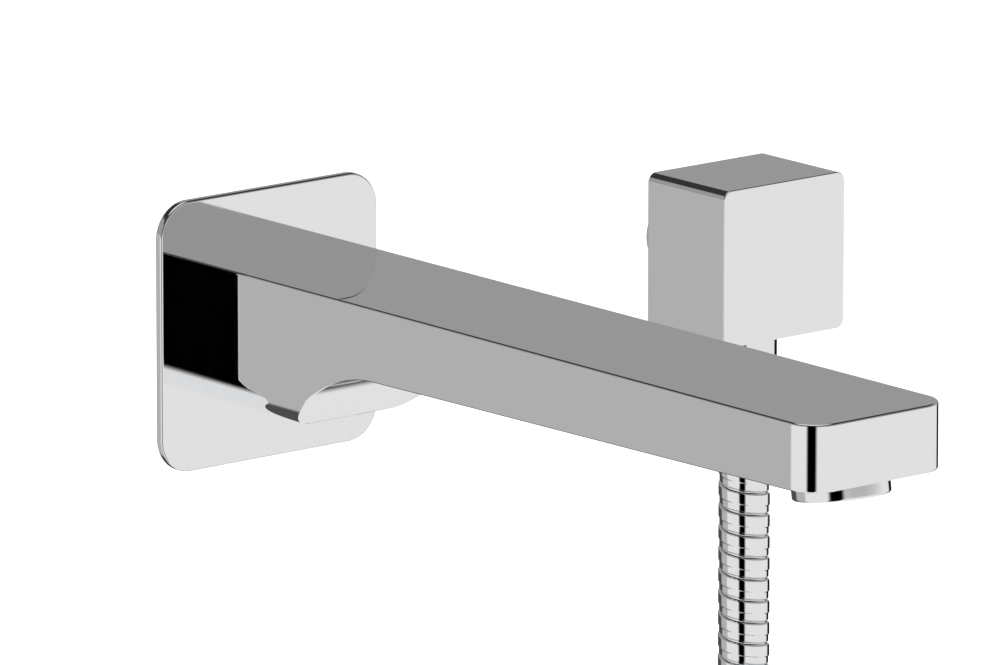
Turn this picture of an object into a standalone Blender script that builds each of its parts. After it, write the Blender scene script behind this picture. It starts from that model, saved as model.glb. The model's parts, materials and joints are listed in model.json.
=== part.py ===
"""Wall-mounted bath faucet: a flat cast spout on a square wall plate, and beside it a square
wall outlet with a metal shower hose. Lengths below are in millimetres, and objects are made
in metres with +Z up. The wall is the plane y = 0, and the faucet stands out along -Y."""

import math

import bmesh
import bpy
from mathutils import Matrix, Vector

MM = 0.001
GAP = 0.3  # between pieces that touch on the real faucet

# Wall plate
PLATE = 75.0
PLATE_THICK = 2.7
PLATE_CORNER = 10.0
PLATE_HOLE_R = 15.0

# Spout
SPOUT_WIDE = 48.0
SPOUT_TOP = 20.0
SPOUT_REACH = 255.0
NOSE_CORNER = 8.5
ROOT_BOTTOM = -20.0
ROOT_ROUND = 10.5
LIP_Y = -37.3
SCOOP_SLOPE = math.radians(41.0)
SCOOP_RADIUS = 45.0
UNDERSIDE_BACK = -0.2  # height of the bar's underside where the scoop ends
UNDERSIDE_FRONT = 1.9

# Waterway
INLET_R = 13.6
INLET_END = -32.0
CHANNEL_WIDE = 34.0
CHANNEL_LOW = 4.6
CHANNEL_HIGH = 17.1
AERATOR_Y = -238.7
AERATOR_R = 13.0
AERATOR_LEAN = math.radians(8.8)  # its outlet leans away from the wall
AERATOR_LIP = -4.45
PORT_R = 12.2
PORT_SEAT = 8.6

# Wall nipples, half-inch pipe thread
THREAD_R = 20.955 / 2
THREAD_END = 14.0

# Hose outlet block
BLOCK_X = 158.0
BLOCK_WIDE = 44.0
BLOCK_TALL = 44.5
BLOCK_DEEP = 33.0
BLOCK_ROUND = 2.8
BLOCK_BOTTOM = -BLOCK_TALL / 2

# Hose
HOSE_R = 7.25
HOSE_Y = -16.4
HOSE_TOP = -57.3
NUT_TOP = BLOCK_BOTTOM - 0.5
COIL_R = 87.0
COIL_PITCH = 15.2  # from one turn to the next
COIL_Z = -274.2
COIL_START = math.radians(114.1)  # where the hose joins the coil, from +X towards +Z
COIL_TURNS = 2
COIL_LAST = math.pi - COIL_START  # the last turn ends where the hose points down
RUN = [  # from the sleeve to the coil
    (158.0, -16.4, -57.3),
    (158.0, -16.4, -78.0),
    (158.0, -16.4, -99.0),
    (158.0, -16.4, -120.0),
    (158.0, -16.4, -140.0),
    (156.0, -16.4, -155.5),
    (150.0, -16.4, -170.0),
    (140.4, -16.4, -182.4),
    (128.0, -16.4, -192.0),
    (122.5, -16.4, -194.8),
]
TAIL = [  # below the coil, down to the end fitting
    (71.0, -49.6, -274.2),
    (71.0, -50.6, -292.0),
    (71.0, -51.6, -311.0),
    (71.0, -52.0, -330.0),
    (71.0, -52.0, -349.2),
]
TAIL_X = TAIL[-1][0]
TAIL_Y = TAIL[-1][1]
TAIL_END = TAIL[-1][2]

CHROME = ("chrome", (0.86, 0.87, 0.88), 0.06, 1.0)
BRASS = ("brass", (0.78, 0.60, 0.28), 0.28, 1.0)
STEEL = ("steel", (0.62, 0.63, 0.65), 0.25, 1.0)
RUBBER = ("rubber", (0.03, 0.03, 0.03), 0.65, 0.0)
FOAM = ("foam", (0.16, 0.16, 0.17), 0.85, 0.0)
PLASTIC = ("white_plastic", (0.85, 0.86, 0.86), 0.4, 0.0)
VALVE_PLASTIC = ("valve_plastic", (0.10, 0.24, 0.55), 0.4, 0.0)
STRAP = ("strap", (0.04, 0.04, 0.045), 0.75, 0.0)


def clear_scene():
    for o in list(bpy.data.objects):
        bpy.data.objects.remove(o, do_unlink=True)


def finish(o, look, smooth=40.0):
    """Gives an object its own material, and smooth shading below the given edge angle."""
    kind, colour, roughness, metallic = look
    m = bpy.data.materials.new(f"{o.name}_{kind}")
    m.use_nodes = True
    shader = m.node_tree.nodes["Principled BSDF"]
    shader.inputs["Base Color"].default_value = (*colour, 1.0)
    shader.inputs["Roughness"].default_value = roughness
    shader.inputs["Metallic"].default_value = metallic
    o.data.materials.append(m)
    if o.type == "MESH" and smooth:
        o.data.shade_smooth()
        o.data.set_sharp_from_angle(angle=math.radians(smooth))
    return o


def add_mesh(name, verts, faces):
    mesh = bpy.data.meshes.new(name)
    mesh.from_pydata([tuple(c * MM for c in v) for v in verts], [], faces)
    bm = bmesh.new()
    bm.from_mesh(mesh)
    bmesh.ops.recalc_face_normals(bm, faces=bm.faces)
    bm.to_mesh(mesh)
    bm.free()
    o = bpy.data.objects.new(name, mesh)
    bpy.context.collection.objects.link(o)
    return o


def set_origin(o, point):
    """Moves an object's origin to a point and leaves its surface where it is."""
    at = Vector(point) * MM
    o.data.transform(Matrix.Translation(-at))
    o.location = at


def prism(name, outline, axis, low, high):
    """An outline extruded along an axis: (x, y) along Z, (x, z) along Y, (y, z) along X."""
    place = {
        "X": lambda a, b, h: (h, a, b),
        "Y": lambda a, b, h: (a, h, b),
        "Z": lambda a, b, h: (a, b, h),
    }[axis]
    n = len(outline)
    verts = [place(a, b, h) for h in (low, high) for a, b in outline]
    sides = [(i, (i + 1) % n, n + (i + 1) % n, n + i) for i in range(n)]
    return add_mesh(name, verts, [tuple(range(n)), tuple(range(n, 2 * n)), *sides])


def lathe(name, outline, centre, axis="Z", steps=40):
    """A closed (radius, height) outline turned about an axis. A radius of 0 is on the axis."""
    verts = []
    rings = []
    for r, h in outline:
        count = steps if r > 0 else 1
        rings.append(range(len(verts), len(verts) + count))
        for k in range(count):
            turn = math.tau * k / steps
            a, b = r * math.cos(turn), r * math.sin(turn)
            offset = (a, b, h) if axis == "Z" else (a, h, b)
            verts.append(tuple(c + d for c, d in zip(centre, offset)))
    faces = []
    for here, there in zip(rings, rings[1:] + rings[:1]):
        for k in range(steps):
            corners = [
                here[k % len(here)],
                here[(k + 1) % len(here)],
                there[(k + 1) % len(there)],
                there[k % len(there)],
            ]
            face = tuple(dict.fromkeys(corners))
            if len(face) > 2:
                faces.append(face)
    return add_mesh(name, verts, faces)


def arc(a, b, radius, start, end, steps):
    """Points on an arc about (a, b), from one angle in degrees to another."""
    turns = [math.radians(start + (end - start) * k / steps) for k in range(steps + 1)]
    return [(a + radius * math.cos(t), b + radius * math.sin(t)) for t in turns]


def rounded(width, height, radius, steps=8, a=0.0, b=0.0):
    """A rectangle with round corners about (a, b)."""
    x = width / 2 - radius
    z = height / 2 - radius
    corners = [(x, z, 0), (-x, z, 90), (-x, -z, 180), (x, -z, 270)]
    arcs = [arc(a + dx, b + dz, radius, start, start + 90, steps) for dx, dz, start in corners]
    return [p for corner in arcs for p in corner]


def box(name, x, y, z):
    return prism(name, [(x[0], z[0]), (x[1], z[0]), (x[1], z[1]), (x[0], z[1])], "Y", *y)


def cylinder(name, radius, centre, low, high, axis="Z", steps=48):
    return lathe(name, [(0, low), (radius, low), (radius, high), (0, high)], centre, axis, steps)


def drills(name, radius, centre, rings, low, high, steps=10):
    """Upright cylinders in rings about centre, as one mesh. Each ring is (distance, count)."""
    verts = []
    faces = []
    for distance, count in rings:
        for k in range(count):
            turn = math.tau * (k + 0.23) / count
            x = centre[0] + distance * math.cos(turn)
            y = centre[1] + distance * math.sin(turn)
            first = len(verts)
            circle = arc(x, y, radius, 11.0, 371.0 - 360.0 / steps, steps - 1)
            for h in (low, high):
                verts += [(a, b, h) for a, b in circle]
            faces += [tuple(range(first, first + steps)), tuple(range(first + steps, first + 2 * steps))]
            for i in range(steps):
                j = (i + 1) % steps
                faces.append((first + i, first + j, first + steps + j, first + steps + i))
    return add_mesh(name, verts, faces)


def cut(body, *cutters):
    """Takes all the cutters from a body in one exact step."""
    group = bpy.data.collections.new(f"{body.name}_{cutters[0].name}")
    bpy.context.scene.collection.children.link(group)
    for cutter in cutters:
        cutter.hide_render = True
        cutter.display_type = "WIRE"
        for home in list(cutter.users_collection):
            home.objects.unlink(cutter)
        group.objects.link(cutter)
    m = body.modifiers.new(group.name, "BOOLEAN")
    m.operation = "DIFFERENCE"
    m.solver = "EXACT"
    m.operand_type = "COLLECTION"
    m.collection = group


def ease_edges(o, width, segments=2):
    """A small round on every sharp edge."""
    m = o.modifiers.new("edges", "BEVEL")
    m.width = width * MM
    m.segments = segments
    m.limit_method = "ANGLE"
    m.angle_limit = math.radians(35)
    m.harden_normals = False


# Spout


def underside():
    """The cutter below the bar, as (y, z): the scoop's flat and arc, and the bar's tapered underside."""
    slope = (UNDERSIDE_FRONT - UNDERSIDE_BACK) / 178.0
    turn = math.degrees(SCOOP_SLOPE)
    rise = SCOOP_RADIUS * (1 - math.cos(SCOOP_SLOPE))
    run = SCOOP_RADIUS * math.sin(SCOOP_SLOPE)
    flat_top = UNDERSIDE_BACK - rise
    flat_y = LIP_Y - (flat_top - ROOT_BOTTOM) / math.tan(SCOOP_SLOPE)
    arc_y = flat_y - run
    low = ROOT_BOTTOM - 12.0
    low_y = LIP_Y - (low - ROOT_BOTTOM) / math.tan(SCOOP_SLOPE)
    curve = arc(arc_y, UNDERSIDE_BACK - SCOOP_RADIUS, SCOOP_RADIUS, 90 - turn, 90, 14)
    front_y = -SPOUT_REACH - 10.0
    front_z = UNDERSIDE_BACK + slope * (arc_y - front_y)
    return [(low_y, low), *curve, (front_y, front_z), (front_y, low)]


def spout_blank():
    half = SPOUT_WIDE / 2
    nose = NOSE_CORNER
    y = -SPOUT_REACH + nose
    back = -PLATE_THICK - GAP
    outline = [(half, back), (-half, back)]
    outline += arc(-half + nose, y, nose, 180, 270, 12)
    outline += arc(half - nose, y, nose, 270, 360, 12)
    return prism("spout_body", outline, "Z", ROOT_BOTTOM, SPOUT_TOP)


def root_corner(side):
    """The cutter that rounds one lower edge of the root."""
    half = SPOUT_WIDE / 2
    r = ROOT_ROUND
    outline = arc(half - r, ROOT_BOTTOM + r, r, 0, -90, 12)
    outline += [(half - r, -40.0), (40.0, -40.0), (40.0, ROOT_BOTTOM + r)]
    outline = [(side * x, z) for x, z in outline]
    return prism(f"root_corner_{'right' if side > 0 else 'left'}", outline, "Y", -75.0, 5.0)


def spout_body():
    body = spout_blank()
    half_channel = CHANNEL_WIDE / 2
    cut(body, prism("scoop", underside(), "X", -40.0, 40.0))
    ease_edges(body, 0.35)
    cut(
        body,
        root_corner(1),
        root_corner(-1),
        cylinder("inlet", INLET_R, (0, 0, 0), INLET_END, 2.0, "Y"),
        box("channel", (-half_channel, half_channel), (-214.0, -28.0), (CHANNEL_LOW, CHANNEL_HIGH)),
        box("neck", (-8.0, 8.0), (-235.0, -210.0), (PORT_SEAT + 1.6, CHANNEL_HIGH - 0.6)),
        lean(cylinder("port_mouth", AERATOR_R + 0.2, (0, 0, 0), -14.0, 4.8, steps=72)),
        lean(cylinder("port", PORT_R, (0, 0, 0), 3.0, PORT_SEAT)),
        lean(cylinder("port_throat", 10.0, (0, 0, 0), PORT_SEAT - 2.0, CHANNEL_HIGH - 1.5)),
        cylinder("spout_screw_hole", 2.7, (0, -9.0, 0), -24.0, -8.0, steps=24),
    )
    return finish(body, CHROME)


def wall_plate():
    plate = prism("wall_plate", rounded(PLATE, PLATE, PLATE_CORNER), "Y", -PLATE_THICK, 0.0)
    ease_edges(plate, 0.45)
    cut(
        plate,
        cylinder("plate_hole", PLATE_HOLE_R, (0, 0, 0), -8.0, 8.0, "Y"),
        prism("plate_recess", rounded(PLATE - 5.0, PLATE - 5.0, PLATE_CORNER - 2.0), "Y", -1.4, 5.0),
    )
    return finish(plate, CHROME)


def plate_seal():
    outside = PLATE - 5.0 - 2 * GAP
    seal = prism("plate_seal", rounded(outside, outside, PLATE_CORNER - 2.3), "Y", -1.1, 0.0)
    cut(seal, prism("seal_window", rounded(outside - 16.0, outside - 16.0, 6.0), "Y", -3.0, 3.0))
    return finish(seal, FOAM)


def nipple(name, x, head_r, head_end, grooves, bore_r):
    """A brass nipple: a threaded tail in the wall, and a head with O-ring grooves in the faucet."""
    outline = [(bore_r, THREAD_END), (THREAD_R - 0.8, THREAD_END), (THREAD_R, THREAD_END - 0.8)]
    outline += [(THREAD_R, 0.4), (head_r, -0.4)]
    for y in grooves:
        outline += [(head_r, y + 1.2), (head_r - 1.8, y + 1.2)]
        outline += [(head_r - 1.8, y - 1.2), (head_r, y - 1.2)]
    outline += [(head_r, head_end + 0.8), (head_r - 0.8, head_end), (bore_r, head_end)]
    return finish(lathe(name, outline, (x, 0, 0), "Y"), BRASS)


def o_ring(name, x, y, outside_r):
    section = arc(outside_r - 0.85, y, 0.85, 0, 315, 7)
    return finish(lathe(name, section, (x, 0, 0), "Y"), RUBBER)


def grub_screw(name, x, y, low, high):
    """A headless screw with a hexagon socket, driven from below."""
    outline = [(0, low), (2.1, low), (2.5, low + 0.4), (2.5, high - 1.2), (1.4, high), (0, high)]
    screw = lathe(name, outline, (x, y, 0), steps=24)
    cut(screw, cylinder(f"{name}_socket", 1.44, (x, y, 0), low - 1.0, low + 2.4, steps=6))
    return finish(screw, STEEL)


# Aerator, each piece made upright about its own origin and then leaned


def lean(o):
    """Puts a piece of the aerator, or a cutter for it, in its place in the spout's nose."""
    o.location = Vector((0, AERATOR_Y, 0)) * MM
    o.rotation_euler = (-AERATOR_LEAN, 0, 0)
    return o


def aerator_housing():
    r = AERATOR_R
    low = AERATOR_LIP
    outline = [(10.2, PORT_SEAT - 1.3), (11.9, PORT_SEAT - 1.3), (11.9, 4.6), (r - 0.3, 4.6), (r, 4.3)]
    outline += [(r, low + 0.7), (r - 0.25, low + 0.2), (r - 0.8, low), (11.0, low), (10.2, low + 0.6)]
    return finish(lean(lathe("aerator_housing", outline, (0, 0, 0), steps=72)), CHROME)


def aerator_insert():
    """The plastic flow straightener: a cup with round holes in its floor."""
    outline = [(0, -3.3), (9.5, -3.3), (9.9, -2.9), (9.9, 4.4), (8.3, 4.4), (8.3, -1.1), (0, -1.1)]
    insert = lean(lathe("aerator_insert", outline, (0, 0, 0)))
    cut(insert, lean(drills("jets", 1.15, (0, 0), ((3.0, 6), (6.3, 12)), -6.0, 1.5, steps=8)))
    return finish(insert, PLASTIC, smooth=30.0)


def aerator_sieve():
    """A fine sieve in a plain rim, above the insert."""
    outline = [(0, 4.75), (9.8, 4.75), (9.8, 5.55), (0, 5.55)]
    sieve = lean(lathe("aerator_sieve", outline, (0, 0, 0), steps=32))
    slots = []
    for k in range(-4, 5):
        y = 1.8 * k
        reach = math.sqrt(9.0**2 - y**2)
        slots.append(lean(box(f"sieve_slot_{k + 4}", (-reach, reach), (y - 0.55, y + 0.55), (3.0, 7.0))))
    cut(sieve, *slots)
    return finish(sieve, STEEL, smooth=0)


def aerator_seal():
    low = PORT_SEAT - 0.95
    high = PORT_SEAT - 0.1
    outline = [(9.9, low), (11.8, low), (11.8, high), (9.9, high)]
    return finish(lean(lathe("aerator_seal", outline, (0, 0, 0))), RUBBER)


# Hose outlet


def outlet_block():
    outline = rounded(BLOCK_WIDE, BLOCK_TALL, BLOCK_ROUND, 6, BLOCK_X, 0.0)
    block = prism("outlet_block", outline, "Y", -BLOCK_DEEP, 0.0)
    axis = (BLOCK_X, HOSE_Y, 0)
    recess = rounded(BLOCK_WIDE - 6.0, BLOCK_TALL - 6.0, 2.0, 4, BLOCK_X, 0.0)
    ease_edges(block, 0.3)
    cut(
        block,
        cylinder("block_inlet", 12.0, (BLOCK_X, 0, 0), -9.5, 3.0, "Y"),
        cylinder("block_chamber", 9.0, (BLOCK_X, 0, 0), -27.5, -8.0, "Y"),
        cylinder("block_port", 8.4, axis, BLOCK_BOTTOM - 3.0, -12.4),
        cylinder("block_throat", 6.0, axis, -14.0, 0.0),
        prism("block_recess", recess, "Y", -1.3, 3.0),
        cylinder("block_screw_hole", 2.7, (BLOCK_X, -5.0, 0), -26.0, -8.0, steps=24),
    )
    return finish(block, CHROME)


def outlet_seal():
    outline = rounded(BLOCK_WIDE - 6.6, BLOCK_TALL - 6.6, 1.8, 4, BLOCK_X, 0.0)
    seal = prism("outlet_seal", outline, "Y", -1.0, 0.0)
    cut(seal, cylinder("outlet_seal_hole", 13.0, (BLOCK_X, 0, 0), -4.0, 4.0, "Y"))
    return finish(seal, FOAM)


def hose_adapter():
    """The stub under the block that the hose nut screws onto; the check valve sits in it."""
    top = -12.9
    foot = BLOCK_BOTTOM + 0.1
    outline = [(6.3, top), (7.6, top), (8.2, top - 0.6), (8.2, foot), (7.3, foot)]
    outline += [(7.3, -30.6), (6.8, -31.1), (3.6, -31.1), (3.6, -24.6), (6.3, -24.6)]
    return finish(lathe("hose_adapter", outline, (BLOCK_X, HOSE_Y, 0)), BRASS)


def check_valve_body():
    """A cartridge with a seat at its top and a drilled guide at its bottom."""
    outline = [(2.6, -13.2), (6.0, -13.2), (6.0, -24.3), (0.95, -24.3), (0.95, -23.1), (4.9, -23.1)]
    outline += [(4.9, -14.4), (2.6, -14.4)]
    body = lathe("check_valve_body", outline, (BLOCK_X, HOSE_Y, 0), steps=32)
    cut(body, drills("guide_holes", 0.9, (BLOCK_X, HOSE_Y), ((3.0, 6),), -26.0, -21.0))
    return finish(body, PLASTIC)


def check_valve_poppet():
    outline = [(0, -14.5), (3.6, -14.5), (3.9, -14.8), (3.9, -15.5)]
    outline += [(0.85, -15.5), (0.85, -24.0), (0, -24.0)]
    poppet = lathe("check_valve_poppet", outline, (BLOCK_X, HOSE_Y, 0), steps=32)
    set_origin(poppet, (BLOCK_X, HOSE_Y, -14.5))
    return finish(poppet, VALVE_PLASTIC)


def check_valve_spring():
    turns = 5
    steps = 12
    wire = 0.28
    low = -22.95 + wire
    high = -15.65 - wire
    points = []
    for k in range(turns * steps + 1):
        turn = math.tau * k / steps
        along = k / (turns * steps)
        x = BLOCK_X + 2.3 * math.cos(turn)
        y = HOSE_Y + 2.3 * math.sin(turn)
        points.append((x, y, low + (high - low) * along))
    return finish(tube("check_valve_spring", points, wire, 1), STEEL)


def hose_washer(name, x, y, low, inner, outer):
    outline = [(inner, low), (outer, low), (outer, low + 1.9), (inner, low + 1.9)]
    return finish(lathe(name, outline, (x, y, 0)), RUBBER)


def hose_nut():
    """The swivel nut under the block: a plain collar above a finely ribbed grip."""
    low = NUT_TOP - 17.5
    outline = [(7.5, NUT_TOP), (8.6, NUT_TOP), (9.0, NUT_TOP - 0.4), (9.0, low + 0.8), (8.2, low)]
    outline += [(5.2, low), (5.2, -36.8), (7.5, -36.8)]
    nut = lathe("hose_nut", outline, (BLOCK_X, HOSE_Y, 0), steps=48)
    cut(nut, drills("nut_grooves", 0.75, (BLOCK_X, HOSE_Y), ((9.45, 18),), low + 2.2, -30.0))
    set_origin(nut, (BLOCK_X, HOSE_Y, NUT_TOP))
    return finish(nut, CHROME)


def hose_ferrule(name, x, y, neck_top, neck_low, low, down=True):
    """The crimped sleeve on the hose: a flange and neck in the nut, and a tapered sleeve on the hose."""
    outline = [(3.5, neck_top), (7.1, neck_top), (7.1, neck_top - 2.9), (4.9, neck_top - 2.9)]
    outline += [(4.9, neck_low), (7.9, neck_low), (8.4, neck_low - 0.6), (8.4, low + 4.0)]
    outline += [(7.7, low + 0.4), (7.5, low), (3.5, low)]
    if not down:
        outline = [(r, 2 * TAIL_END - h) for r, h in outline]
    return finish(lathe(name, outline, (x, y, 0)), CHROME)


# Hose


def smooth_line(points, spacing):
    """Points at about the given spacing on a smooth curve through a route's own points."""
    line = []
    ends = [Vector(p) for p in points]
    ends = [2 * ends[0] - ends[1], *ends, 2 * ends[-1] - ends[-2]]
    for a, b, c, d in zip(ends, ends[1:], ends[2:], ends[3:]):
        steps = max(1, round((c - b).length / spacing))
        for k in range(steps):
            t = k / steps
            pull = (c - a) * t + (2 * a - 5 * b + 4 * c - d) * t**2 + (3 * b - a - 3 * c + d) * t**3
            line.append(b + pull / 2)
    return [*line, ends[-2]]


def tube(name, points, radius, resolution=3):
    """A round tube along points, with filled ends."""
    curve = bpy.data.curves.new(name, "CURVE")
    curve.dimensions = "3D"
    curve.bevel_depth = radius * MM
    curve.bevel_resolution = resolution
    curve.use_fill_caps = True
    curve.render_resolution_u = 0
    spline = curve.splines.new("POLY")
    spline.points.add(len(points) - 1)
    for target, p in zip(spline.points, points):
        target.co = (*(c * MM for c in p), 1.0)
    o = bpy.data.objects.new(name, curve)
    bpy.context.collection.objects.link(o)
    return o


def coil_point(turned, radius=COIL_R, out=0.0):
    """A point on the winding after an angle turned from the coil's start, moved out along -Y."""
    angle = COIL_START + turned
    y = HOSE_Y - COIL_PITCH * turned / math.tau - out
    return (BLOCK_X + radius * math.cos(angle), y, COIL_Z + radius * math.sin(angle))


def hose_run():
    line = smooth_line(RUN, 15.0)[:-1] + [coil_point(-GAP / COIL_R)]
    return finish(tube("hose_run", line, HOSE_R), RUBBER)


def hose_coil():
    """One body round the two full turns: a section two hoses wide, carried once round the winding."""
    section = rounded(2 * HOSE_R + 0.4, COIL_PITCH + 2 * HOSE_R + 0.4, 7.0, 3)
    steps = 48
    verts = []
    for k in range(steps + 1):
        turned = (math.tau - 2 * GAP / COIL_R) * k / steps + GAP / COIL_R / 2
        verts += [coil_point(turned, COIL_R + a, COIL_PITCH / 2 + b) for a, b in section]
    n = len(section)
    faces = [tuple(range(n)), tuple(range(steps * n, (steps + 1) * n))]
    for k in range(steps):
        for i in range(n):
            j = (i + 1) % n
            faces.append((k * n + i, k * n + j, (k + 1) * n + j, (k + 1) * n + i))
    return finish(add_mesh("hose_coil", verts, faces), RUBBER)


def hose_tail():
    steps = 7
    start = COIL_TURNS * math.tau + GAP / COIL_R
    end = COIL_TURNS * math.tau + COIL_LAST
    turning = [coil_point(start + (end - start) * k / steps) for k in range(steps)]
    return finish(tube("hose_tail", turning + smooth_line(TAIL, 18.0), HOSE_R), RUBBER)


def coil_tie(name, turned, turns):
    """A strap round the winding, a little clear of it."""
    wide = COIL_PITCH * (turns - 1) + 2 * HOSE_R + 1.2
    tall = 2 * HOSE_R + 1.2
    middle = Vector(coil_point(turned, out=COIL_PITCH * (turns - 1) / 2))
    angle = COIL_START + turned
    verts = []
    faces = []
    for along in (-4.0, 4.0):
        for size in (0.0, 1.3):
            for a, b in rounded(tall + 2 * size, wide + 2 * size, 6.0 + size, 4):
                outward = Vector((math.cos(angle), 0, math.sin(angle))) * a
                forward = Vector((-math.sin(angle), 0, math.cos(angle))) * along
                verts.append(tuple(middle + outward + forward + Vector((0, -b, 0))))
    n = len(verts) // 4
    for i in range(n):
        j = (i + 1) % n
        for p, q in ((0, 1), (1, 3), (3, 2), (2, 0)):
            faces.append((p * n + i, p * n + j, q * n + j, q * n + i))
    return finish(add_mesh(name, verts, faces), STRAP)


def hose_end_nut():
    """The conical swivel nut for the hand shower, with its thread's bore open below."""
    top = TAIL_END - 17.0
    low = top - 27.8
    seat = top - 13.8
    outline = [(5.2, top), (8.0, top), (8.4, top - 0.4), (12.1, low + 11.6)]
    outline += [(12.1, low + 0.5), (11.6, low), (10.6, low), (10.6, seat - 3.3)]
    outline += [(8.0, seat - 3.3), (8.0, seat), (5.2, seat)]
    nut = lathe("hose_end_nut", outline, (TAIL_X, TAIL_Y, 0), steps=48)
    set_origin(nut, (TAIL_X, TAIL_Y, top))
    return finish(nut, CHROME)


def main():
    clear_scene()
    spout_body()
    wall_plate()
    plate_seal()
    nipple("spout_nipple", 0.0, 13.4, -27.5, (-17.0, -22.0), 8.0)
    o_ring("spout_o_ring_1", 0.0, -17.0, 13.4)
    o_ring("spout_o_ring_2", 0.0, -22.0, 13.4)
    grub_screw("spout_screw", 0.0, -9.0, -19.4, -13.75)
    aerator_housing()
    aerator_insert()
    aerator_sieve()
    aerator_seal()
    outlet_block()
    outlet_seal()
    nipple("outlet_nipple", BLOCK_X, 11.8, -7.6, (), 7.0)
    grub_screw("outlet_screw", BLOCK_X, -5.0, -21.6, -12.3)
    hose_adapter()
    check_valve_body()
    check_valve_poppet()
    check_valve_spring()
    hose_nut()
    hose_washer("hose_washer", BLOCK_X, HOSE_Y, -33.2, 4.2, 7.2)
    hose_ferrule("hose_ferrule", BLOCK_X, HOSE_Y, -33.5, -40.5, HOSE_TOP + GAP)
    hose_run()
    hose_coil()
    hose_tail()
    coil_tie("coil_tie_upper", math.radians(26.0), 3)
    coil_tie("coil_tie_lower", math.radians(205.0), 2)
    end = TAIL_END
    hose_ferrule("hose_end_ferrule", TAIL_X, TAIL_Y, end + 33.9, end + 16.5, end + GAP, down=False)
    hose_end_nut()
    hose_washer("hose_end_washer", TAIL_X, TAIL_Y, end - 36.1, 4.6, 10.2)


main()
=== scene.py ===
"""The looks of the wall-mounted bath faucet: polished chrome pieces with finely rounded edges,
a wound metal hose, and a white light tent. Lengths in the tables below are in millimetres."""

import json
import math

import bmesh
import bpy
import numpy as np
from mathutils import Matrix, Vector


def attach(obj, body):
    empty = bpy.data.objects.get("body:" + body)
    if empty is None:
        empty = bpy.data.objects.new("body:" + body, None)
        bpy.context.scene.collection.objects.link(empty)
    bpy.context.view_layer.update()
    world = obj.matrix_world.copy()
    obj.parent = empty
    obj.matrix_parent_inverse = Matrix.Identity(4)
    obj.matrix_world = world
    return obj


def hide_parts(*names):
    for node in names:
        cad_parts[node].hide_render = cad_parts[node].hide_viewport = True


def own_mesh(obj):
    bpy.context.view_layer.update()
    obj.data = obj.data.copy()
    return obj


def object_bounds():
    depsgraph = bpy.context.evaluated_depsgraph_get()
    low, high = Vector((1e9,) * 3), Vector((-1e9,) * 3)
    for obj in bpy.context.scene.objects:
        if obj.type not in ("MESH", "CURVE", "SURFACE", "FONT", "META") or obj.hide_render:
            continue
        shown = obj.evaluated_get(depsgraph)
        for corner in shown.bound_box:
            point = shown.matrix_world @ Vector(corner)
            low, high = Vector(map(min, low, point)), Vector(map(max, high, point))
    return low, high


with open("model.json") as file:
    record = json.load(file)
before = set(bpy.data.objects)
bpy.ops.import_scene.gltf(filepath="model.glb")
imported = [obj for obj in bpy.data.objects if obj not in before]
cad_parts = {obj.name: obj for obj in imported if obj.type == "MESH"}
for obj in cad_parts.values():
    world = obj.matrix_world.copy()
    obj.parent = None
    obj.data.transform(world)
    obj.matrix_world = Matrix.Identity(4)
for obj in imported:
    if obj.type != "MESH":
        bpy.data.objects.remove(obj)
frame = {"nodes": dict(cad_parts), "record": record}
CAD_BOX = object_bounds()

MM = 0.001

# Camera: where it looks from, as angles about the part, its distance and its lens
CAMERA_AZIMUTH = math.radians(-39.561)
CAMERA_DOWN = math.radians(12.897)
CAMERA_EYE = (-2.2467, -2.8202, 0.8221)
CAMERA_LENS = 490.07

# The hose's route, as in the CAD source
RUN = [
    (158.0, -16.4, -57.3),
    (158.0, -16.4, -78.0),
    (158.0, -16.4, -99.0),
    (158.0, -16.4, -120.0),
    (158.0, -16.4, -140.0),
    (156.0, -16.4, -155.5),
    (150.0, -16.4, -170.0),
    (140.4, -16.4, -182.4),
    (128.0, -16.4, -192.0),
    (122.5, -16.4, -194.8),
]
TAIL = [
    (71.0, -49.6, -274.2),
    (71.0, -50.6, -292.0),
    (71.0, -51.6, -311.0),
    (71.0, -52.0, -330.0),
    (71.0, -52.0, -349.2),
]
TAIL_X, TAIL_Y, TAIL_END = TAIL[-1]
COIL_CENTRE = (158.0, -16.4, -274.2)
COIL_R = 87.0
COIL_PITCH = 15.2
COIL_START = math.radians(114.1)
COIL_END = 4 * math.pi + math.pi - COIL_START

# Wall plate, spout and aerator
PLATE = 75.0
PLATE_THICK = 2.7
PLATE_CORNER = 10.0
PLATE_EDGE = 0.65
SPOUT_WIDE = 48.0
SPOUT_TOP = 20.0
SPOUT_BACK = -2.72
SPOUT_REACH = 255.0
SPOUT_EDGE = 0.65
NOSE_CORNER = 8.5
ROOT_BOTTOM = -20.0
ROOT_ROUND = 10.5
LIP_Y = -37.3
SCOOP_SLOPE = math.radians(41.0)
SCOOP_RADIUS = 45.0
UNDERSIDE_BACK = -0.2
UNDERSIDE_FRONT = 1.9
UNDERSIDE_RUN = 178.0  # the length over which the underside rises from back to front
AERATOR_Y = -238.7
AERATOR_R = 13.0
AERATOR_LEAN = math.radians(8.8)
AERATOR_LIP = -4.45
THREAD_R = 20.955 / 2
THREAD_END = 14.0

# Hose outlet
BLOCK_X = 158.0
BLOCK_WIDE = 44.0
BLOCK_TALL = 44.5
BLOCK_DEEP = 33.0
BLOCK_BACK = -0.4
BLOCK_ROUND = 2.8
BLOCK_EDGE = 0.3
HOSE_Y = -16.4
NUT_TOP = -22.75
NUT_RIBS = 18
RIB_R = 9.45  # from the nut's axis to the grooves between its ribs
PIPE_PITCH = 1.814  # half-inch pipe thread

# The check valve's spring: its ends, its radius and its wire's
SPRING_LOW = -22.95
SPRING_HIGH = -15.65
SPRING_R = 2.3
SPRING_WIRE = 0.28

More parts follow.
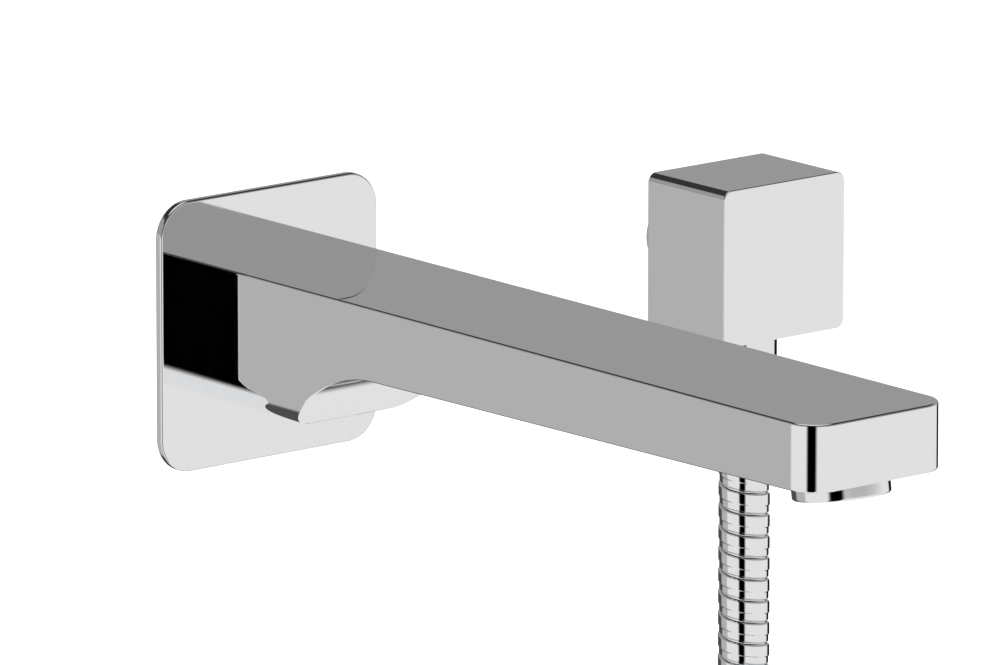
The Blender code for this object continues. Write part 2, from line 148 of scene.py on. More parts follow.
# The hose's wound strip
HOSE_D = 14.5
STRIP_PITCH = 6.2
STRIP = [  # (share of the pitch, radius): a band's rounded lip, the band, its recess and the seam
    (0.000, 6.50),
    (0.006, 6.80),
    (0.030, 6.95),
    (0.065, 7.09),
    (0.100, 7.19),
    (0.130, 7.24),
    (0.150, 7.25),
    (0.570, 7.25),
    (0.595, 7.20),
    (0.625, 7.02),
    (0.650, 6.97),
    (0.925, 6.95),
    (0.945, 6.64),
]


# The light tent: its radius in metres, its white cloth, how soft a panel's edge is, and its
# panels as (azimuth, half the width, height, half the height, tone), in degrees seen from the
# part. Azimuth 0 is in front of the wall, and +90 is the side of the hose outlet.
TENT_R = 1.5
TENT_WHITE = 0.9
TENT_SOFT = 5.0
TENT_PANELS = [
    (0, 200, 15, 15, 0.6),  # grey cloth above the white walls
    (0, 200, 45, 15, 0.2),  # the gap below the top light
    (170, 40, -30, 30, 0.3),  # the wall's own shade, behind the part
    (-145, 20, -30, 30, 0.7),
    (-45, 15, -20, 50, 0.0),  # black flag in front
    (105, 15, -20, 20, 0.0),  # black flag at the side
]


# Meshes


def link(name, mesh):
    o = bpy.data.objects.new(name, mesh)
    bpy.context.collection.objects.link(o)
    return o


def add_mesh(name, verts, faces):
    """A mesh object from points in millimetres."""
    mesh = bpy.data.meshes.new(name)
    mesh.from_pydata([tuple(c * MM for c in v) for v in verts], [], faces)
    bm = bmesh.new()
    bm.from_mesh(mesh)
    bmesh.ops.recalc_face_normals(bm, faces=bm.faces)
    bm.to_mesh(mesh)
    bm.free()
    return link(name, mesh)


def arc(a, b, radius, start, end, steps):
    turns = [math.radians(start + (end - start) * k / steps) for k in range(steps + 1)]
    return [(a + radius * math.cos(t), b + radius * math.sin(t)) for t in turns]


def rounded(width, height, radius, steps=16, a=0.0, b=0.0):
    x = width / 2 - radius
    z = height / 2 - radius
    corners = [(x, z, 0), (-x, z, 90), (-x, -z, 180), (x, -z, 270)]
    arcs = [arc(a + dx, b + dz, radius, start, start + 90, steps) for dx, dz, start in corners]
    return [p for corner in arcs for p in corner]


def prism(name, outline, axis, low, high):
    """An outline extruded along an axis: (x, y) along Z, (x, z) along Y, (y, z) along X."""
    place = {
        "X": lambda a, b, h: (h, a, b),
        "Y": lambda a, b, h: (a, h, b),
        "Z": lambda a, b, h: (a, b, h),
    }[axis]
    n = len(outline)
    verts = [place(a, b, h) for h in (low, high) for a, b in outline]
    sides = [(i, (i + 1) % n, n + (i + 1) % n, n + i) for i in range(n)]
    return add_mesh(name, verts, [tuple(range(n)), tuple(range(n, 2 * n)), *sides])


def lathe(name, outline, centre, axis="Z", steps=96):
    """A closed (radius, height) outline turned about an axis. A radius of 0 is on the axis."""
    verts = []
    rings = []
    for r, h in outline:
        count = steps if r > 0 else 1
        rings.append(range(len(verts), len(verts) + count))
        for k in range(count):
            turn = math.tau * k / steps
            a, b = r * math.cos(turn), r * math.sin(turn)
            offset = (a, b, h) if axis == "Z" else (a, h, b)
            verts.append(tuple(c + d for c, d in zip(centre, offset)))
    faces = []
    for here, there in zip(rings, rings[1:] + rings[:1]):
        for k in range(steps):
            corners = [
                here[k % len(here)],
                here[(k + 1) % len(here)],
                there[(k + 1) % len(there)],
                there[k % len(there)],
            ]
            face = tuple(dict.fromkeys(corners))
            if len(face) > 2:
                faces.append(face)
    return add_mesh(name, verts, faces)


def round_off(outline, radius, steps=4):
    """A lathe outline with each corner replaced by a small arc, smaller where its sides are short."""
    points = [Vector(p) for p in outline]
    made = []
    for before, here, after in zip(points[-1:] + points[:-1], points, points[1:] + points[:1]):
        a = before - here
        b = after - here
        reach = min(radius, 0.4 * a.length, 0.4 * b.length)
        if here.x <= 0 or a.angle(-b) < math.radians(8):
            made.append(tuple(here))
            continue
        start = here + a.normalized() * reach
        end = here + b.normalized() * reach
        for k in range(steps + 1):
            t = k / steps
            made.append(tuple(start * (1 - t) ** 2 + here * 2 * t * (1 - t) + end * t**2))
    return made


def cut(body, *cutters):
    group = bpy.data.collections.new(f"{body.name}_{cutters[0].name}")
    bpy.context.scene.collection.children.link(group)
    for cutter in cutters:
        for home in list(cutter.users_collection):
            home.objects.unlink(cutter)
        group.objects.link(cutter)
    m = body.modifiers.new(group.name, "BOOLEAN")
    m.operation = "DIFFERENCE"
    m.solver = "EXACT"
    m.operand_type = "COLLECTION"
    m.collection = group
    settle(body)
    for cutter in cutters:
        bpy.data.objects.remove(cutter)
    bpy.data.collections.remove(group)


def settle(o):
    """Applies an object's modifiers to its mesh."""
    deps = bpy.context.evaluated_depsgraph_get()
    mesh = bpy.data.meshes.new_from_object(o.evaluated_get(deps))
    o.modifiers.clear()
    o.data = mesh


def ease_edges(o, width, segments=3, angle=35.0):
    """Rounds the sharp edges, and keeps the flat faces' shading flat."""
    m = o.modifiers.new("edges", "BEVEL")
    m.width = width * MM
    m.segments = segments
    m.limit_method = "ANGLE"
    m.angle_limit = math.radians(angle)
    settle(o)


def shade(o, angle=30.0):
    """Smooth shading below an edge angle, weighted by face area so that flats stay flat."""
    o.data.shade_smooth()
    o.data.set_sharp_from_angle(angle=math.radians(angle))
    m = o.modifiers.new("normals", "WEIGHTED_NORMAL")
    m.keep_sharp = True
    m.weight = 100
    settle(o)


def own(piece, body, slot, material, *nodes):
    """Gives a piece its material, its body, and the CAD nodes that it stands for. The slot is not
    used.
    """
    piece.data.materials.clear()
    piece.data.materials.append(material)
    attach(piece, body)
    if nodes:
        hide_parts(*nodes)
    return piece


# Materials


def principled(name, colour, roughness, metallic):
    m = bpy.data.materials.new(name)
    m.use_nodes = True
    shader = m.node_tree.nodes["Principled BSDF"]
    shader.inputs["Base Color"].default_value = (*colour, 1.0)
    shader.inputs["Roughness"].default_value = roughness
    shader.inputs["Metallic"].default_value = metallic
    return m, m.node_tree, shader


def noise(tree, scale, detail=3.0):
    """A noise texture in the object's own coordinates, in metres."""
    where = tree.nodes.new("ShaderNodeTexCoord")
    texture = tree.nodes.new("ShaderNodeTexNoise")
    texture.inputs["Scale"].default_value = scale
    texture.inputs["Detail"].default_value = detail
    tree.links.new(where.outputs["Object"], texture.inputs["Vector"])
    return texture.outputs["Fac"]


def spread(tree, value, low, high):
    """A noise value mapped to a range."""
    m = tree.nodes.new("ShaderNodeMapRange")
    m.inputs["From Min"].default_value = 0.3
    m.inputs["From Max"].default_value = 0.7
    m.inputs["To Min"].default_value = low
    m.inputs["To Max"].default_value = high
    tree.links.new(value, m.inputs["Value"])
    return m.outputs["Result"]


def bump(tree, shader, height, strength, distance):
    b = tree.nodes.new("ShaderNodeBump")
    b.inputs["Strength"].default_value = strength
    b.inputs["Distance"].default_value = distance
    tree.links.new(height, b.inputs["Height"])
    tree.links.new(b.outputs["Normal"], shader.inputs["Normal"])


def chrome(name="polished_chrome", colour=(0.94, 0.945, 0.955)):
    """Mirror-bright chrome plate, with a faint unevenness in its polish."""
    m, tree, shader = principled(name, colour, 0.03, 1.0)
    tree.links.new(spread(tree, noise(tree, 90.0), 0.02, 0.045), shader.inputs["Roughness"])
    return m


def turned_brass():
    m, tree, shader = principled("turned_brass", (0.80, 0.60, 0.27), 0.25, 1.0)
    tree.links.new(spread(tree, noise(tree, 400.0), 0.18, 0.34), shader.inputs["Roughness"])
    bump(tree, shader, noise(tree, 1500.0), 0.15, 0.00005)
    return m


def nickel():
    """Satin nickel plate over brass."""
    m, tree, shader = principled("nickel_plate", (0.80, 0.79, 0.77), 0.2, 1.0)
    tree.links.new(spread(tree, noise(tree, 500.0), 0.14, 0.28), shader.inputs["Roughness"])
    return m


def steel():
    m, tree, shader = principled("stainless_steel", (0.62, 0.63, 0.65), 0.25, 1.0)
    tree.links.new(spread(tree, noise(tree, 900.0), 0.18, 0.34), shader.inputs["Roughness"])
    return m


def rubber():
    m, tree, shader = principled("black_rubber", (0.018, 0.018, 0.019), 0.6, 0.0)
    tree.links.new(spread(tree, noise(tree, 700.0), 0.5, 0.7), shader.inputs["Roughness"])
    bump(tree, shader, noise(tree, 2500.0), 0.2, 0.00005)
    return m


def foam():
    m, tree, shader = principled("closed_cell_foam", (0.05, 0.05, 0.055), 0.9, 0.0)
    bump(tree, shader, noise(tree, 1800.0, 2.0), 0.6, 0.0002)
    return m


def plastic(name, colour):
    m, tree, shader = principled(name, colour, 0.4, 0.0)
    tree.links.new(spread(tree, noise(tree, 600.0), 0.34, 0.46), shader.inputs["Roughness"])
    return m


def webbing():
    """Woven strap: a fine twill as bump."""
    m, tree, shader = principled("woven_strap", (0.03, 0.03, 0.034), 0.8, 0.0)
    where = tree.nodes.new("ShaderNodeTexCoord")
    wave = tree.nodes.new("ShaderNodeTexWave")
    wave.bands_direction = "DIAGONAL"
    wave.inputs["Scale"].default_value = 450.0
    tree.links.new(where.outputs["Object"], wave.inputs["Vector"])
    bump(tree, shader, wave.outputs["Fac"], 0.6, 0.0002)
    return m


# Pieces


def box(name, x, y, z):
    return prism(name, [(x[0], z[0]), (x[1], z[0]), (x[1], z[1]), (x[0], z[1])], "Y", *y)


def cylinder(name, radius, centre, low, high, axis="Z", steps=96):
    return lathe(name, [(0, low), (radius, low), (radius, high), (0, high)], centre, axis, steps)


def lean(o):
    """Puts a piece made upright at its own origin in the spout's nose, at the aerator's lean."""
    place = Matrix.Translation((0, AERATOR_Y * MM, 0))
    o.data.transform(place @ Matrix.Rotation(-AERATOR_LEAN, 4, "X"))
    return o


def underside():
    """The cutter below the bar, as (y, z): the scoop's flat and arc, and the tapered underside."""
    slope = (UNDERSIDE_FRONT - UNDERSIDE_BACK) / UNDERSIDE_RUN
    turn = math.degrees(SCOOP_SLOPE)
    flat_top = UNDERSIDE_BACK - SCOOP_RADIUS * (1 - math.cos(SCOOP_SLOPE))
    flat_y = LIP_Y - (flat_top - ROOT_BOTTOM) / math.tan(SCOOP_SLOPE)
    arc_y = flat_y - SCOOP_RADIUS * math.sin(SCOOP_SLOPE)
    low = ROOT_BOTTOM - 12.0
    low_y = LIP_Y - (low - ROOT_BOTTOM) / math.tan(SCOOP_SLOPE)
    curve = arc(arc_y, UNDERSIDE_BACK - SCOOP_RADIUS, SCOOP_RADIUS, 90 - turn, 90, 48)
    front_y = -SPOUT_REACH - 10.0
    front_z = UNDERSIDE_BACK + slope * (arc_y - front_y)
    return [(low_y, low), *curve, (front_y, front_z), (front_y, low)]


def root_corner(side):
    """The cutter that rounds one lower edge of the root."""
    r = ROOT_ROUND
    half = SPOUT_WIDE / 2
    outline = arc(half - r, ROOT_BOTTOM + r, r, 0, -90, 40)
    outline += [(half - r, -40.0), (40.0, -40.0), (40.0, ROOT_BOTTOM + r)]
    return prism(f"root_corner_{side}", [(side * x, z) for x, z in outline], "Y", -75.0, 5.0)


def spout(material):
    """The cast spout: a flat bar whose root deepens in a scoop, with finely rounded edges."""
    half = SPOUT_WIDE / 2
    nose = NOSE_CORNER
    y = -SPOUT_REACH + nose
    outline = [(half, 2.0), (-half, 2.0)]
    outline += arc(-half + nose, y, nose, 180, 270, 48)
    outline += arc(half - nose, y, nose, 270, 360, 48)
    body = prism("spout_casting", outline, "Z", ROOT_BOTTOM, SPOUT_TOP)
    cut(body, prism("scoop", underside(), "X", -40.0, 40.0))
    ease_edges(body, SPOUT_EDGE, 4)
    cut(
        body,
        box("back", (-40.0, 40.0), (SPOUT_BACK, 6.0), (-40.0, 40.0)),
        root_corner(1),
        root_corner(-1),
        cylinder("inlet", 13.6, (0, 0, 0), -32.0, 2.0, "Y"),
        box("channel", (-17.0, 17.0), (-214.0, -28.0), (4.6, 17.1)),
        box("neck", (-8.0, 8.0), (-235.0, -210.0), (10.2, 16.5)),
        lean(cylinder("port_mouth", AERATOR_R + 0.2, (0, 0, 0), -14.0, 4.8)),
        lean(cylinder("port", 12.2, (0, 0, 0), 3.0, 8.6)),
        lean(cylinder("port_throat", 10.0, (0, 0, 0), 6.6, 15.6)),
        cylinder("spout_screw_hole", 2.7, (0, -9.0, 0), -24.0, -8.0, steps=48),
    )
    shade(body)
    return own(body, "wall_set", "chrome", material, "spout_body")


def plate(material):
    """The square wall plate, with a hollow back for its seal."""
    body = prism("plate_shell", rounded(PLATE, PLATE, PLATE_CORNER, 32), "Y", -PLATE_THICK, 0.0)
    recess = rounded(PLATE - 5.0, PLATE - 5.0, PLATE_CORNER - 2.0)
    ease_edges(body, PLATE_EDGE, 4)
    cut(
        body,
        cylinder("plate_hole", 15.0, (0, 0, 0), -8.0, 8.0, "Y"),
        prism("plate_recess", recess, "Y", -1.4, 5.0),
    )
    shade(body)
    return own(body, "wall_set", "chrome", material, "wall_plate")


def block(material):
    """The square hose outlet: rounded along its depth, and finely eased round its face."""
    outline = rounded(BLOCK_WIDE, BLOCK_TALL, BLOCK_ROUND, 16, BLOCK_X, 0.0)
    body = prism("outlet_casting", outline, "Y", -BLOCK_DEEP, BLOCK_BACK)
    recess = rounded(BLOCK_WIDE - 6.0, BLOCK_TALL - 6.0, 2.0, 8, BLOCK_X)
    axis = (BLOCK_X, HOSE_Y, 0)
    ease_edges(body, BLOCK_EDGE, 4)
    cut(
        body,
        cylinder("block_inlet", 12.0, (BLOCK_X, 0, 0), -9.5, 3.0, "Y"),
        cylinder("block_chamber", 9.0, (BLOCK_X, 0, 0), -27.5, -8.0, "Y"),
        cylinder("block_port", 8.4, axis, -25.25, -12.4),
        cylinder("block_throat", 6.0, axis, -14.0, 0.0),
        prism("block_recess", recess, "Y", -1.3, 3.0),
        cylinder("block_screw_hole", 2.7, (BLOCK_X, -5.0, 0), -26.0, -8.0, steps=48),
    )
    shade(body)
    return own(body, "wall_set", "chrome", material, "outlet_block")


def aerator_ring(material):
    r = AERATOR_R
    low = AERATOR_LIP
    outline = [(10.2, 7.3), (11.9, 7.3), (11.9, 4.6), (r, 4.6), (r, low), (10.2, low)]
    ring = lean(lathe("aerator_ring", round_off(outline, 0.7), (0, 0, 0), steps=160))
    shade(ring, 50.0)
    return own(ring, "wall_set", "chrome", material, "aerator_housing")


def swivel_nut(material):
    """The hose's swivel nut under the block: a plain collar over a finely ribbed grip."""
    top = NUT_TOP
    low = top - 17.5
    collar = [(5.2, low), (8.2, low), (9.0, low + 0.9), (9.0, top)]
    collar += [(7.5, top), (7.5, -36.8), (5.2, -36.8)]
    nut = lathe("swivel_nut", round_off(collar, 0.35), (BLOCK_X, HOSE_Y, 0), steps=144)
    cutters = []
    for k in range(NUT_RIBS):
        turn = math.tau * (k + 0.23) / NUT_RIBS
        centre = (BLOCK_X + RIB_R * math.cos(turn), HOSE_Y + RIB_R * math.sin(turn), 0)
        cutters.append(cylinder(f"rib_groove_{k}", 0.75, centre, low + 2.2, -30.0, steps=20))
    cut(nut, *cutters)
    shade(nut, 35.0)
    return own(nut, "block_nut", "chrome", material, "hose_nut")


def ferrule(name, node, centre, neck_top, neck_low, low, material, mirror_at=None):
    """A hose end: a flange and a neck in the nut, and a sleeve crimped on the hose in three rings."""
    outline = [(3.5, neck_top), (7.1, neck_top), (7.1, neck_top - 2.9), (4.9, neck_top - 2.9)]
    outline += [(4.9, neck_low), (8.4, neck_low)]
    for k in range(3):
        z = neck_low - 4.2 - 2.6 * k
        outline += [(8.4, z + 0.6), (8.1, z), (8.4, z - 0.6)]
    outline += [(8.4, low + 4.0), (7.6, low), (3.5, low)]
    if mirror_at is not None:
        outline = [(r, 2 * mirror_at - h) for r, h in outline]
    sleeve = lathe(name, round_off(outline, 0.4), (*centre, 0), steps=120)
    shade(sleeve, 35.0)
    return own(sleeve, "wall_set", "chrome", material, node)


def end_nut(material):
    """The conical nut that takes the hand shower, with its thread cut inside."""
    top = TAIL_END - 17.0
    low = top - 27.8
    seat = top - 13.8
    axis = (TAIL_X, TAIL_Y, 0)
    outline = [(5.2, top), (8.4, top), (12.1, low + 11.6), (12.1, low), (10.6, low)]
    outline += [(10.6, seat - 3.3), (8.0, seat - 3.3), (8.0, seat), (5.2, seat)]
    nut = lathe("cone_nut", round_off(outline, 0.45), axis, steps=144)
    shade(nut, 35.0)
    thread = ridge("cone_nut_thread", 10.65, 9.75, low + 1.2, seat - 4.6, axis, "Z")
    join(nut, thread)
    return own(nut, "hand_shower_nut", "chrome", material, "hose_end_nut")


def ridge(name, foot, tip, start, end, centre, axis):
    """A screw thread's ridge: a triangle carried along a helix, running out at both ends."""
    around = 48
    count = int((end - start) / PIPE_PITCH * around)
    verts = []
    faces = []
    for k in range(count + 1):
        turn = math.tau * k / around
        share = min(1.0, 2.0 * k / around, 2.0 * (count - k) / around)
        peak = foot + (tip - foot) * share
        h = start + PIPE_PITCH * k / around
        section = ((foot, -0.42), (peak, -0.07), (peak, 0.07), (foot, 0.42))
        for r, rise in section:
            a, b = r * math.cos(turn), r * math.sin(turn)
            level = h + rise * PIPE_PITCH
            offset = (a, b, level) if axis == "Z" else (a, level, b)
            verts.append(tuple(c + d for c, d in zip(centre, offset)))
        if k:
            faces += [(4 * k - 4 + i, 4 * k - 3 + i, 4 * k + 1 + i, 4 * k + i) for i in range(3)]
            faces.append((4 * k - 1, 4 * k - 4, 4 * k, 4 * k + 3))
    o = add_mesh(name, verts, faces)
    o.data.shade_smooth()
    o.data.set_sharp_from_angle(angle=math.radians(35))
    return o


def join(o, *others):
    """Joins meshes into the first one."""
    bm = bmesh.new()
    for part in (o, *others):
        bm.from_mesh(part.data)
    bm.to_mesh(o.data)
    bm.free()
    for part in others:
        bpy.data.objects.remove(part)


def nipple(name, node, x, head_r, head_end, grooves, bore_r, material):
    """A brass wall nipple with its half-inch pipe thread."""
    root = THREAD_R - 1.15
    end = THREAD_END
    outline = [(bore_r, end), (THREAD_R, end), (THREAD_R, end - 1.6), (root, end - 2.2)]
    outline += [(root, 0.6), (head_r, 0.0)]
    for y in grooves:
        outline += [(head_r, y + 1.2), (head_r - 1.8, y + 1.2)]
        outline += [(head_r - 1.8, y - 1.2), (head_r, y - 1.2)]
    outline += [(head_r, head_end), (bore_r, head_end)]
    body = lathe(name, round_off(outline, 0.4), (x, 0, 0), "Y", steps=120)
    shade(body, 35.0)
    thread = ridge(f"{name}_thread", root - 0.05, THREAD_R, 1.2, end - 2.0, (x, 0, 0), "Y")
    join(body, thread)
    return own(body, "wall_set", "brass", material, node)


def valve_spring(material):
    """The check valve's spring, with closed ends."""
    per_turn = 28
    around = 10
    turns = 6
    flat = 0.12  # how much an end turn rises, beside a turn in the middle
    low = SPRING_LOW + SPRING_WIRE
    tall = SPRING_HIGH - SPRING_WIRE - low
    verts = []
    for k in range(turns * per_turn + 1):
        t = k / per_turn
        at_ends = min(t, 1.0) + max(t - turns + 1.0, 0.0)
        rise = min(max(t - 1.0, 0.0), turns - 2.0) + flat * at_ends
        middle = low + tall * rise / (turns - 2.0 + 2.0 * flat)
        for j in range(around):
            turn = math.tau * j / around
            r = SPRING_R + SPRING_WIRE * math.cos(turn)
            x = BLOCK_X + r * math.cos(math.tau * t)
            y = HOSE_Y + r * math.sin(math.tau * t)
            verts.append((x, y, middle + SPRING_WIRE * math.sin(turn)))
    last = turns * per_turn * around
    faces = [tuple(range(around)), tuple(last + j for j in reversed(range(around)))]
    for a in range(0, last, around):
        for j in range(around):
            b = (j + 1) % around
            faces.append((a + j, a + around + j, a + around + b, a + b))
    spring = add_mesh("valve_spring", verts, faces)
    shade(spring, 50.0)
    own(spring, "wall_set", "steel", material, "check_valve_spring")
    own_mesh(spring)


def coil_tie(name, node, turned, turns, material):
    """A strap round the coil's turns, with softly rounded edges."""
    wide = COIL_PITCH * (turns - 1) + HOSE_D + 1.2
    tall = HOSE_D + 1.2
    angle = COIL_START + turned
    y = COIL_CENTRE[1] - COIL_PITCH * turned / math.tau - COIL_PITCH * (turns - 1) / 2
    outward = Vector((math.cos(angle), 0, math.sin(angle)))
    middle = Vector((COIL_CENTRE[0], y, COIL_CENTRE[2])) + COIL_R * outward
    forward = Vector((-math.sin(angle), 0, math.cos(angle)))
    section = [(-4.0, 0.25), (-3.75, 0.0), (3.75, 0.0), (4.0, 0.25)]
    section += [(4.0, 1.05), (3.75, 1.3), (-3.75, 1.3), (-4.0, 1.05)]
    verts = []
    loops = []
    for along, size in section:
        loops.append(len(verts))
        for a, b in rounded(tall + 2 * size, wide + 2 * size, 6.0 + size, 12):
            verts.append(tuple(middle + outward * a + forward * along + Vector((0, -b, 0))))
    n = loops[1]
    faces = []
    for p, q in zip(loops, loops[1:] + loops[:1]):
        faces += [(p + i, p + (i + 1) % n, q + (i + 1) % n, q + i) for i in range(n)]
    tie = add_mesh(name, verts, faces)
    shade(tie, 35.0)
    return own(tie, "wall_set", "strap", material, node)


# Hose


def smooth_line(points, spacing):
    """Points at about the given spacing on a smooth curve through a route's own points."""
    line = []
    ends = [Vector(p) for p in points]
    ends = [2 * ends[0] - ends[1], *ends, 2 * ends[-1] - ends[-2]]
    for a, b, c, d in zip(ends, ends[1:], ends[2:], ends[3:]):
        steps = max(1, round((c - b).length / spacing))
        for k in range(steps):
            t = k / steps
            pull = (c - a) * t + (2 * a - 5 * b + 4 * c - d) * t**2 + (3 * b - a - 3 * c + d) * t**3
            line.append(b + pull / 2)
    return [*line, ends[-2]]


def hose_line():
    """The hose's whole centreline: the run, the coil's turns and the tail."""
    cx, cy, cz = COIL_CENTRE
    steps = 360
    coil = []
    for k in range(1, steps):
        turned = COIL_END * k / steps
        angle = COIL_START + turned
        y = cy - COIL_PITCH * turned / math.tau
        coil.append(Vector((cx + COIL_R * math.cos(angle), y, cz + COIL_R * math.sin(angle))))
    return np.array(smooth_line(RUN, 3.0) + coil + smooth_line(TAIL, 3.0), float)


def along(line):
    return np.concatenate([[0], np.cumsum(np.linalg.norm(np.diff(line, axis=0), axis=1))])


def carried_frames(line):
    """Two directions across a line at each point, carried along it without twist."""
    forward = np.gradient(line, axis=0)
    forward /= np.linalg.norm(forward, axis=1)[:, None]
    side = np.zeros_like(line)
    side[0] = np.cross(forward[0], (0.0, 1.0, 0.0))
    for i in range(1, len(line)):
        s = side[i - 1] - forward[i] * (side[i - 1] @ forward[i])
        side[i] = s / np.linalg.norm(s)
    return side, np.cross(forward, side)


def wound_hose(name, line, around=40):
    """A strip wound in a left-handed helix round the line, as one grid that follows the winding."""
    at = along(line)
    side, up = carried_frames(line)
    length = at[-1]
    turns = math.ceil(length / STRIP_PITCH) + 1
    k = len(STRIP)
    share = np.array([p[0] for p in STRIP])
    radius = np.array([p[1] for p in STRIP])
    step = np.arange((turns + 1) * around + 1)
    turn = math.tau * step / around
    s = STRIP_PITCH * (turn[:, None] / math.tau - 1 + share[None, :])
    inside = np.clip(s, 0.0, length)
    angle = np.broadcast_to(-turn[:, None], s.shape)
    r = np.broadcast_to(radius, s.shape)
    at_step = [[np.interp(inside, at, grid[:, i]) for i in range(3)] for grid in (line, side, up)]
    mid, a, b = (np.stack(axes, axis=-1) for axes in at_step)
    points = mid + r[..., None] * (np.cos(angle)[..., None] * a + np.sin(angle)[..., None] * b)
    verts = points.reshape(-1, 3)
    faces = []
    clipped = (s <= 0) | (s >= length)
    for j in range(len(step) - 1):
        for i in range(k):
            if i + 1 < k:
                corners = (j * k + i, j * k + i + 1, (j + 1) * k + i + 1, (j + 1) * k + i)
            elif j + 1 + around < len(step):
                corners = (j * k + i, (j + around) * k, (j + 1 + around) * k, (j + 1) * k + i)
            else:
                continue
            if not all(clipped.flat[c] for c in corners):
                faces.append(corners)
    hose = add_mesh(name, verts.tolist(), faces)
    bm = bmesh.new()
    bm.from_mesh(hose.data)
    bmesh.ops.delete(bm, geom=[v for v in bm.verts if not v.link_faces], context="VERTS")
    bmesh.ops.recalc_face_normals(bm, faces=bm.faces)
    bm.to_mesh(hose.data)
    bm.free()
    shade(hose, 50.0)
    return hose


# Scene


def camera():
    data = bpy.data.cameras.new("camera")
    data.lens = CAMERA_LENS
    data.sensor_width = 36.0
    data.clip_start = 0.1
    data.clip_end = 50.0
    o = bpy.data.objects.new("camera", data)
    o.location = CAMERA_EYE
    o.rotation_euler = (math.pi / 2 - CAMERA_DOWN, 0.0, CAMERA_AZIMUTH)
    bpy.context.collection.objects.link(o)
    bpy.context.scene.camera = o


def floor():
    """A plain pale floor under the part."""
    z = CAD_BOX[0][2] / MM - 60.0
    o = prism("floor", rounded(16000, 16000, 200, 4), "Z", z - 10.0, z)
    m, tree, shader = principled("pale_floor", (0.95, 0.95, 0.95), 0.8, 0.0)
    shader.inputs["Emission Color"].default_value = (1.0, 1.0, 1.0, 1.0)
    shader.inputs["Emission Strength"].default_value = 0.35
    o.data.materials.append(m)
    o.visible_glossy = False


def math_node(tree, operation, *values):
    n = tree.nodes.new("ShaderNodeMath")
    n.operation = operation
    for socket, value in zip(n.inputs, values):
        if isinstance(value, (int, float)):
            socket.default_value = value
        else:
            tree.links.new(value, socket)
    return n.outputs[0]


def light_for(tone):
    """The light that shows as a tone, from 0 to 1, on the screen."""
    light = tone / 12.92 if tone < 0.04 else ((tone + 0.055) / 1.055) ** 2.4
    return (light, light, light, 1.0)


def within(tree, distance, half):
    """1 nearer than half, 0 beyond it, with the panels' soft edge between."""
    m = tree.nodes.new("ShaderNodeMapRange")
    m.interpolation_type = "SMOOTHSTEP"
    m.inputs["From Min"].default_value = half + TENT_SOFT
    m.inputs["From Max"].default_value = half - TENT_SOFT
    tree.links.new(distance, m.inputs["Value"])
    return m.outputs["Result"]


def panel(tree, around, height, under, at, half_wide, rise, half_tall, tone):
    """One cloth panel over what is under it."""
    aside = math_node(tree, "WRAP", math_node(tree, "SUBTRACT", around, float(at)), 180.0, -180.0)
    above = math_node(tree, "SUBTRACT", height, float(rise))
    wide = within(tree, math_node(tree, "ABSOLUTE", aside), half_wide)
    tall = within(tree, math_node(tree, "ABSOLUTE", above), half_tall)
    n = tree.nodes.new("ShaderNodeMix")
    n.data_type = "RGBA"
    tree.links.new(math_node(tree, "MULTIPLY", wide, tall), n.inputs["Factor"])
    tree.links.new(under, n.inputs[6])
    n.inputs[7].default_value = light_for(tone)
    return n.outputs[2]


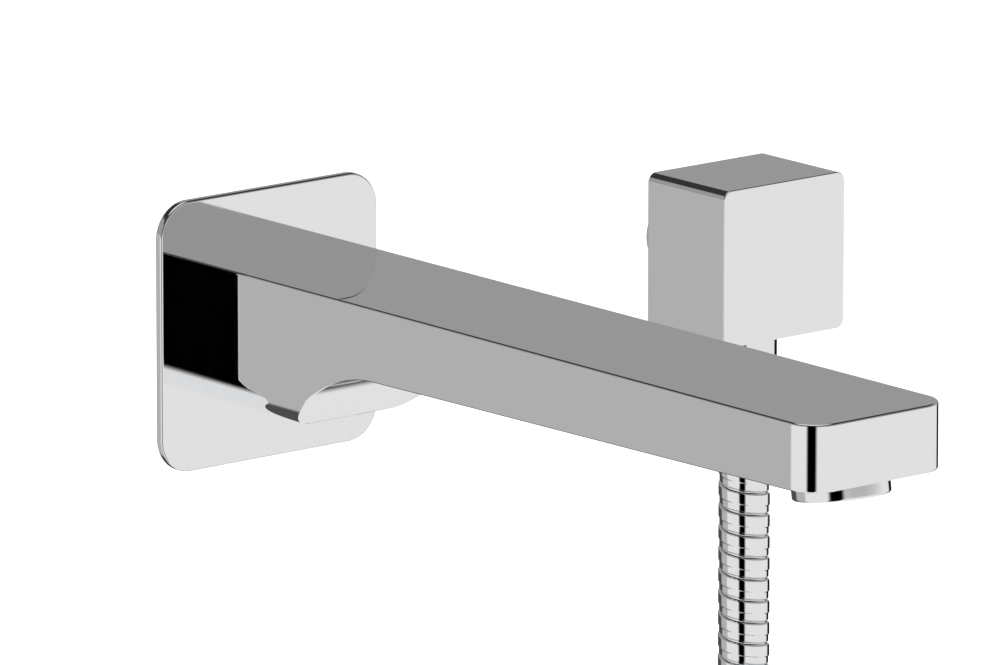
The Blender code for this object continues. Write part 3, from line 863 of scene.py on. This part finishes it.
def tent():
    """A photographer's white tent, seen only in the polished surfaces."""
    bpy.ops.mesh.primitive_uv_sphere_add(segments=96, ring_count=48, radius=TENT_R)
    o = bpy.context.object
    o.name = "tent"
    o.data.materials.clear()
    m = bpy.data.materials.new("tent_cloth")
    m.use_nodes = True
    tree = m.node_tree
    tree.nodes.clear()
    where = tree.nodes.new("ShaderNodeTexCoord")
    parts = tree.nodes.new("ShaderNodeSeparateXYZ")
    tree.links.new(where.outputs["Object"], parts.inputs[0])
    x, y, z = parts.outputs
    turn = math_node(tree, "ARCTAN2", x, math_node(tree, "MULTIPLY", y, -1.0))
    around = math_node(tree, "DEGREES", turn)
    rise = math_node(tree, "ARCSINE", math_node(tree, "DIVIDE", z, TENT_R))
    height = math_node(tree, "DEGREES", rise)
    white = tree.nodes.new("ShaderNodeRGB")
    white.outputs[0].default_value = light_for(TENT_WHITE)
    light = white.outputs[0]
    for cloth in TENT_PANELS:
        light = panel(tree, around, height, light, *cloth)
    glow = tree.nodes.new("ShaderNodeEmission")
    tree.links.new(light, glow.inputs["Color"])
    out = tree.nodes.new("ShaderNodeOutputMaterial")
    tree.links.new(glow.outputs[0], out.inputs["Surface"])
    o.data.materials.append(m)
    o.visible_camera = False
    o.visible_diffuse = False
    o.visible_transmission = False
    o.visible_shadow = False


def daylight():
    """Even white light for the matt surfaces, and the white beyond the floor."""
    world = bpy.data.worlds.new("daylight")
    bpy.context.scene.world = world
    world.use_nodes = True
    world.node_tree.nodes["Background"].inputs["Strength"].default_value = 1.1
    world.node_tree.nodes["Background"].inputs["Color"].default_value = (1.0, 1.0, 1.0, 1.0)
    bpy.context.scene.view_settings.view_transform = "Standard"


def hose(material):
    line = hose_line()
    piece = wound_hose("wound_hose", line)
    own(piece, "wall_set", "chrome", material, "hose_run", "hose_coil", "hose_tail")


def main():
    camera()
    daylight()
    tent()
    floor()
    mirror = chrome()
    spout(mirror)
    plate(mirror)
    block(mirror)
    aerator_ring(mirror)
    swivel_nut(mirror)
    ferrule("block_ferrule", "hose_ferrule", (BLOCK_X, HOSE_Y), -33.5, -40.5, -57.0, mirror)
    end = TAIL_END
    tail = (TAIL_X, TAIL_Y)
    ferrule("end_ferrule", "hose_end_ferrule", tail, end + 33.9, end + 16.5, end + 0.3, mirror, end)
    end_nut(mirror)
    brass = turned_brass()
    wire = steel()
    nipple("spout_pipe_nipple", "spout_nipple", 0.0, 13.4, -27.5, (-17.0, -22.0), 8.0, brass)
    nipple("outlet_pipe_nipple", "outlet_nipple", BLOCK_X, 11.8, -7.6, (), 7.0, nickel())
    strap = webbing()
    coil_tie("upper_strap", "coil_tie_upper", math.radians(26.0), 3, strap)
    coil_tie("lower_strap", "coil_tie_lower", math.radians(205.0), 2, strap)
    valve_spring(wire)
    hose(mirror)
    looks = {
        "chrome": mirror,
        "brass": brass,
        "steel": wire,
        "rubber": rubber(),
        "foam": foam(),
        "white_plastic": plastic("white_plastic", (0.85, 0.86, 0.86)),
        "valve_plastic": plastic("blue_plastic", (0.08, 0.22, 0.55)),
    }
    slots = {s["node"]: s["material_slot"] for s in frame["record"]["subparts"]}
    for name, node in frame["nodes"].items():
        if slots[name] in looks:
            node.data.materials.clear()
            node.data.materials.append(looks[slots[name]])


main()
